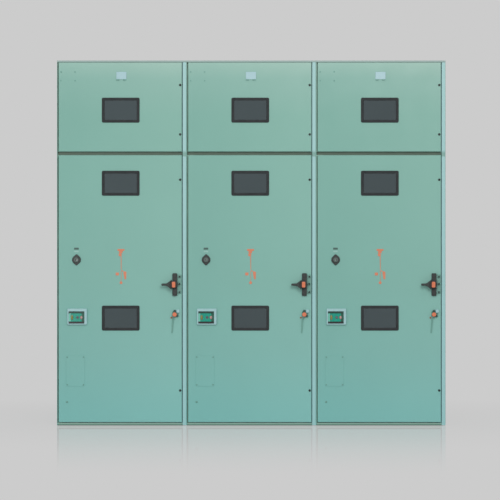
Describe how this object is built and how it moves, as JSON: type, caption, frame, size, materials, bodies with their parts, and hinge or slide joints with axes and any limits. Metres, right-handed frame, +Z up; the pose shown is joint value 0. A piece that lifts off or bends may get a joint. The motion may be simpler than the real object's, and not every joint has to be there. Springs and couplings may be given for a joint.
{
  "type": "ring main unit",
  "caption": "Line-up of sheet-steel medium-voltage switchgear cubicles with windowed upper and lower doors, lever handles, live-line display and mimic line.",
  "frame": {"origin": "middle of the bounding box at floor level", "axes": "+Z up, +X to the right along the line-up seen from the front, the doors face -Y"},
  "size_m": [2.3396, 0.954, 2.2],
  "materials": {
    "green_paint": "satin stove enamel",
    "trim_paint": "satin stove enamel",
    "frame_steel": "satin stove enamel",
    "roof_paint": "satin stove enamel",
    "keeper_paint": "satin",
    "zinc_sheet": "zinc plated",
    "bright_steel": "zinc plated",
    "copper": "plain copper",
    "phase_yellow": "heat-shrink sleeve",
    "phase_green": "heat-shrink sleeve",
    "phase_red": "heat-shrink sleeve",
    "brown_epoxy": "cast epoxy",
    "black_rubber": "moulded",
    "window_glass": "dark tempered glass",
    "black_handle": "moulded",
    "orange_plastic": "moulded",
    "pale_plastic": "moulded"
  },
  "bodies": {
    "cabinet": {"front_left_posts": "frame_steel", "front_right_posts": "trim_paint", "rear_posts": "frame_steel", "cross_rails": "frame_steel", "base_cross_rails": "frame_steel", "base_side_rails": "frame_steel", "side_walls": "green_paint", "roof_sheets": "roof_paint", "relief_flaps": "green_paint", "rear_panels": "green_paint", "floor_plates": "zinc_sheet", "cable_grommets": "black_rubber", "partitions": "zinc_sheet", "upper_doors": "green_paint", "upper_window_glass": "window_glass", "upper_window_gaskets": "black_rubber", "hinge_brackets": "bright_steel", "lower_door_seals": "black_rubber", "upper_door_seals": "black_rubber", "mechanism_boxes": "zinc_sheet", "post_insulators": "brown_epoxy", "switch_rails": "zinc_sheet", "switch_blades": "copper", "switch_shafts": "bright_steel", "cable_bars": "copper", "earth_bars": "copper", "busbar_yellow": "phase_yellow", "busbar_green": "phase_green", "busbar_red": "phase_red", "busbar_bushings": "brown_epoxy"},
    "lower_door_1": {"lower_door_1": "green_paint", "door_glass_1": "window_glass", "door_gaskets_1": "black_rubber", "handle_plate_1": "black_handle", "handle_keeper_1": "keeper_paint", "door_lock_1": "orange_plastic", "switch_socket_1": "black_handle", "live_display_1": "pale_plastic"},
    "handle_1": {"handle_hub_1": "orange_plastic", "handle_lever_1": "black_handle"},
    "lower_door_2": {"lower_door_2": "green_paint", "door_glass_2": "window_glass", "door_gaskets_2": "black_rubber", "handle_plate_2": "black_handle", "handle_keeper_2": "keeper_paint", "door_lock_2": "orange_plastic", "switch_socket_2": "black_handle", "live_display_2": "pale_plastic"},
    "handle_2": {"handle_hub_2": "orange_plastic", "handle_lever_2": "black_handle"},
    "lower_door_3": {"lower_door_3": "green_paint", "door_glass_3": "window_glass", "door_gaskets_3": "black_rubber", "handle_plate_3": "black_handle", "handle_keeper_3": "keeper_paint", "door_lock_3": "orange_plastic", "switch_socket_3": "black_handle", "live_display_3": "pale_plastic"},
    "handle_3": {"handle_hub_3": "orange_plastic", "handle_lever_3": "black_handle"}
  },
  "joints": [
    {"name": "lower_door_1_swing", "type": "hinge", "parent": "cabinet", "child": "lower_door_1", "pos_m": [-1.151, -0.414, 0.82], "axis": [0, 0, -1], "range_deg": [0, 95]},
    {"name": "handle_1_turn", "type": "hinge", "parent": "lower_door_1", "child": "handle_1", "pos_m": [-0.466, -0.448, 0.849], "axis": [0, -1, 0], "range_deg": [0, 90]},
    {"name": "lower_door_2_swing", "type": "hinge", "parent": "cabinet", "child": "lower_door_2", "pos_m": [-0.371, -0.414, 0.82], "axis": [0, 0, -1], "range_deg": [0, 95]},
    {"name": "handle_2_turn", "type": "hinge", "parent": "lower_door_2", "child": "handle_2", "pos_m": [0.314, -0.448, 0.849], "axis": [0, -1, 0], "range_deg": [0, 90]},
    {"name": "lower_door_3_swing", "type": "hinge", "parent": "cabinet", "child": "lower_door_3", "pos_m": [0.409, -0.414, 0.82], "axis": [0, 0, -1], "range_deg": [0, 95]},
    {"name": "handle_3_turn", "type": "hinge", "parent": "lower_door_3", "child": "handle_3", "pos_m": [1.094, -0.448, 0.849], "axis": [0, -1, 0], "range_deg": [0, 90]}
  ]
}
